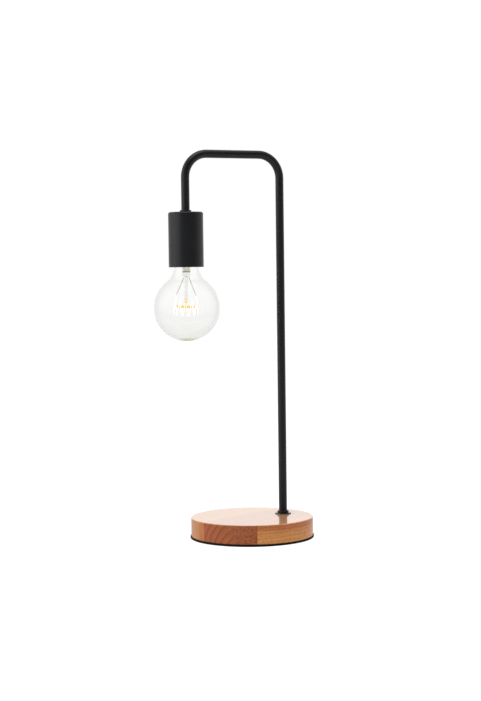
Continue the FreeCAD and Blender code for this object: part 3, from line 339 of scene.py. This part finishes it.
def anchor_wire():
    """Thin grey wires with a painted orange glow at the hub and a fainter one at the hooks."""
    wire = Surface("anchor_wire", Metallic=0.6)
    away = wire.length(wire.math("SUBTRACT", wire.axis("X"), BULB_X), wire.axis("Y"))
    at_hook = wire.rise(away, HOOK_RADIUS - 0.0012, HOOK_RADIUS)
    at_hub = wire.rise(away, HUB_GLOW_RADIUS + 0.0030, HUB_GLOW_RADIUS)
    # Painted glow: at the hub and hooks the wires are coloured orange and made to shine, standing in
    # for the filament's light on them.
    glow = wire.math("MAXIMUM", wire.math("MULTIPLY", at_hook, 0.22), at_hub)
    painted_glow_tint = wire.math("MAXIMUM", at_hook, at_hub)
    scale = wire.noise(2600, 3)
    return wire.paint(
        Base_Color=wire.mix(painted_glow_tint, wire.mix(scale, rgb(0.16, 0.155, 0.15), rgb(0.32, 0.31, 0.30)),
                            rgb(0.62, 0.30, 0.12)),
        Roughness=wire.rise(scale, 0.3, 0.7, 0.35, 0.6),
        Emission_Color=wire.mix(scale, rgb(1.0, 0.32, 0.10), rgb(1.0, 0.52, 0.22)),
        Emission_Strength=wire.math("MULTIPLY", glow, 0.85))


def filament():
    """Glowing filament, white-hot with slightly uneven patches."""
    thread = Surface("filament")
    patches = thread.noise(500, 3)
    return thread.paint(
        Base_Color=thread.mix(patches, rgb(0.9, 0.7, 0.45), rgb(1.0, 0.85, 0.6)),
        Roughness=thread.rise(patches, 0.3, 0.7, 0.5, 0.7),
        Emission_Color=thread.mix(patches, rgb(1.0, 0.86, 0.66), rgb(1.0, 0.92, 0.78)),
        Emission_Strength=thread.rise(patches, 0.25, 0.75, 2.2, 3.0))


def lead_wire():
    """Nickel lead wires with a painted orange glow at their lower ends, where they meet the filament.
    """
    wire = Surface("lead_wire", Metallic=0.9)
    # Painted glow: the lower ends are coloured orange and made to shine, standing in for the filament's
    # light on them.
    hot = wire.rise(wire.axis("Z"), HUB + 0.0185, HUB + 0.0135)
    marks = wire.noise(1500, 3)
    return wire.paint(
        Base_Color=wire.mix(hot, wire.mix(marks, rgb(0.20, 0.185, 0.165), rgb(0.42, 0.39, 0.35)),
                            rgb(0.9, 0.42, 0.15)),
        Roughness=wire.rise(marks, 0.3, 0.7, 0.25, 0.5),
        Emission_Color=wire.mix(marks, rgb(1.0, 0.26, 0.04), rgb(1.0, 0.38, 0.08)),
        Emission_Strength=wire.math("MULTIPLY", hot, 0.35))


BY_SLOT = {
    "black_paint": black_paint(),
    "wood": wood(),
    "black_foam": black_foam(),
    "bulb_glass": bulb_glass(),
    "mount_glass": mount_glass(),
    "steel": metal("zinc_steel", rgb(0.62, 0.62, 0.60), rgb(0.45, 0.45, 0.44), 0.25, 0.45),
    "brass": metal("nickel_brass", rgb(0.78, 0.62, 0.34), rgb(0.60, 0.45, 0.22), 0.22, 0.42),
    "copper_wire": metal("copper", rgb(0.86, 0.48, 0.30), rgb(0.62, 0.30, 0.18), 0.25, 0.45),
    "solder": metal("solder", rgb(0.66, 0.66, 0.67), rgb(0.48, 0.48, 0.50), 0.30, 0.55, 400, 0.0001),
    "insulator_glass": plastic("black_glass", rgb(0.006, 0.006, 0.008), rgb(0.015, 0.013, 0.016),
                               0.05, 0.16, 500),
    "phenolic": plastic("phenolic", rgb(0.011, 0.010, 0.010), rgb(0.020, 0.018, 0.017), 0.34, 0.50),
    "nylon": plastic("nylon", rgb(0.80, 0.79, 0.75), rgb(0.68, 0.67, 0.62), 0.30, 0.48, 700,
                     0.00005, 0.15),
    "live_insulation": plastic("brown_insulation", rgb(0.16, 0.062, 0.030), rgb(0.10, 0.038, 0.019),
                               0.32, 0.50),
    "neutral_insulation": plastic("blue_insulation", rgb(0.030, 0.115, 0.34),
                                  rgb(0.018, 0.070, 0.23), 0.32, 0.50),
    "cement": plastic("cement", rgb(0.62, 0.56, 0.44), rgb(0.46, 0.40, 0.30), 0.75, 0.95, 1500, 0.0002),
}
BY_NODE = {
    "foot_washer": gloss_paint(),
    "anchor_wires": anchor_wire(),
    "filament": filament(),
    "lead_wires": lead_wire(),
}

for part in frame["record"]["subparts"]:
    looks = BY_NODE.get(part["node"]) or BY_SLOT[part["material_slot"]]
    for place in frame["nodes"][part["node"]].material_slots:
        place.material = looks


# ---------------------------------------------------------------------------- studio
def make_floor():
    """A pale floor that renders white where it is lit and keeps the lamp's soft shadow. Seen in
    gloss or through glass, it brightens with distance toward the white behind it."""
    half = 6.0
    seen_strength, near_strength, far_strength = 0.88, 0.70, 0.86
    mesh = bpy.data.meshes.new("floor")
    corners = [(-half, -half, 0), (half, -half, 0), (half, half, 0), (-half, half, 0)]
    mesh.from_pydata(corners, [], [(0, 1, 2, 3)])
    floor = bpy.data.objects.new("floor", mesh)
    bpy.context.scene.collection.objects.link(floor)
    paper = Surface("studio_paper", Specular_IOR_Level=0.0, Roughness=0.9)
    paths = paper.add("ShaderNodeLightPath").outputs
    mirrored = paper.math("MAXIMUM", paths["Is Glossy Ray"], paths["Is Transmission Ray"])
    away = paper.add("ShaderNodeVectorMath", {0: paper.place}, operation="LENGTH").outputs["Value"]
    distant = paper.rise(away, 0.3, 3.0, near_strength, far_strength)
    seen = paper.math("MAXIMUM", paper.math("MULTIPLY", paths["Is Camera Ray"], seen_strength),
                      paper.math("MULTIPLY", mirrored, distant))
    fibre = paper.noise(30, 2)
    paper.paint(Base_Color=paper.mix(fibre, rgb(0.20, 0.20, 0.20), rgb(0.22, 0.22, 0.22)),
                Emission_Strength=seen)
    paper.shader.inputs["Emission Color"].default_value = rgb(1, 1, 1)
    mesh.materials.append(paper.material)


def make_world():
    """White behind the lamp and beside it, darker on the camera's side for what shines."""
    lighting, darkest_shine = 0.80, 0.03
    world = bpy.data.worlds.new("studio")
    bpy.context.scene.world = world
    world.use_nodes = True
    tree = world.node_tree
    background = tree.nodes["Background"]
    background.inputs["Color"].default_value = rgb(1, 1, 1)

    def join(kind, links, **settings):
        item = tree.nodes.new(kind)
        for name, value in settings.items():
            setattr(item, name, value)
        for number, value in links.items():
            if isinstance(value, bpy.types.NodeSocket):
                tree.links.new(value, item.inputs[number])
            else:
                item.inputs[number].default_value = value
        return item.outputs

    direction = join("ShaderNodeTexCoord", {})["Generated"]
    facing = join("ShaderNodeVectorMath", {0: direction, 1: VIEW}, operation="DOT_PRODUCT")["Value"]
    shine = join("ShaderNodeMapRange", {"Value": facing, "From Min": -0.45, "From Max": 0.25,
                                        "To Min": darkest_shine, "To Max": 1.0},
                 interpolation_type="SMOOTHSTEP")[0]
    paths = join("ShaderNodeLightPath", {})
    clear = join("ShaderNodeMath", {0: paths["Is Camera Ray"], 1: paths["Is Transmission Ray"]},
                 operation="MAXIMUM")[0]
    strength = join("ShaderNodeMix", {0: paths["Is Glossy Ray"], 2: lighting, 3: shine},
                    data_type="FLOAT")[0]
    strength = join("ShaderNodeMix", {0: clear, 2: strength, 3: 1.0}, data_type="FLOAT")[0]
    tree.links.new(strength, background.inputs["Strength"])


def add_area(name, place, target, width, height, watts, mirrored=True):
    """A soft rectangular lamp aimed at a point, which only shines in gloss if it is mirrored."""
    lamp = bpy.data.lights.new(name, "AREA")
    lamp.shape = "RECTANGLE"
    lamp.size, lamp.size_y = width, height
    lamp.energy = watts
    item = bpy.data.objects.new(name, lamp)
    bpy.context.scene.collection.objects.link(item)
    aim = (Vector(target) - Vector(place)).to_track_quat("-Z", "Y")
    item.matrix_world = Matrix.Translation(Vector(place)) @ aim.to_matrix().to_4x4()
    item.visible_camera = item.visible_transmission = False
    item.visible_glossy = mirrored


def make_lamps():
    """Four panels around the lamp. The right one only fills, and draws no highlight."""
    middle = Vector((0, 0, 0.25))
    left = middle - RIGHT * 1.25 - VIEW * 0.55 + Vector((0, 0, 0.45))
    right = middle + RIGHT * 1.45 - VIEW * 0.10 + Vector((0, 0, 0.35))
    above = middle - VIEW * 0.35 + Vector((0, 0, 1.6))
    behind = middle + VIEW * 2.6 + Vector((0, 0, 0.35))
    add_area("key_left", left, middle, 1.5, 1.2, 10.5)
    add_area("fill_right", right, middle, 0.5, 1.2, 4.5, mirrored=False)
    add_area("top", above, middle, 1.2, 1.2, 12.0)
    add_area("backdrop", behind, middle, 2.6, 1.1, 2.2)


def make_camera():
    """The photograph's camera, fitted to the foot's ellipses, the tube, the cup and the bulb."""
    lens = bpy.data.cameras.new("camera")
    lens.sensor_fit = "VERTICAL"
    lens.sensor_height = SENSOR
    lens.lens = FOCAL_PIXELS * SENSOR / IMAGE_HEIGHT
    lens.clip_end = 50
    camera = bpy.data.objects.new("camera", lens)
    bpy.context.scene.collection.objects.link(camera)
    place = Vector((0, 0, CAMERA_HEIGHT)) - VIEW * CAMERA_DISTANCE
    aim = (Matrix.Rotation(-(CAMERA_AZIMUTH + CAMERA_YAW), 4, "Z")
           @ Matrix.Rotation(math.pi / 2 - CAMERA_PITCH, 4, "X")
           @ Matrix.Rotation(-CAMERA_ROLL, 4, "Z"))
    camera.matrix_world = Matrix.Translation(place) @ aim
    bpy.context.scene.camera = camera


make_floor()
make_world()
make_lamps()
make_camera()
bpy.context.scene.view_settings.view_transform = "Standard"
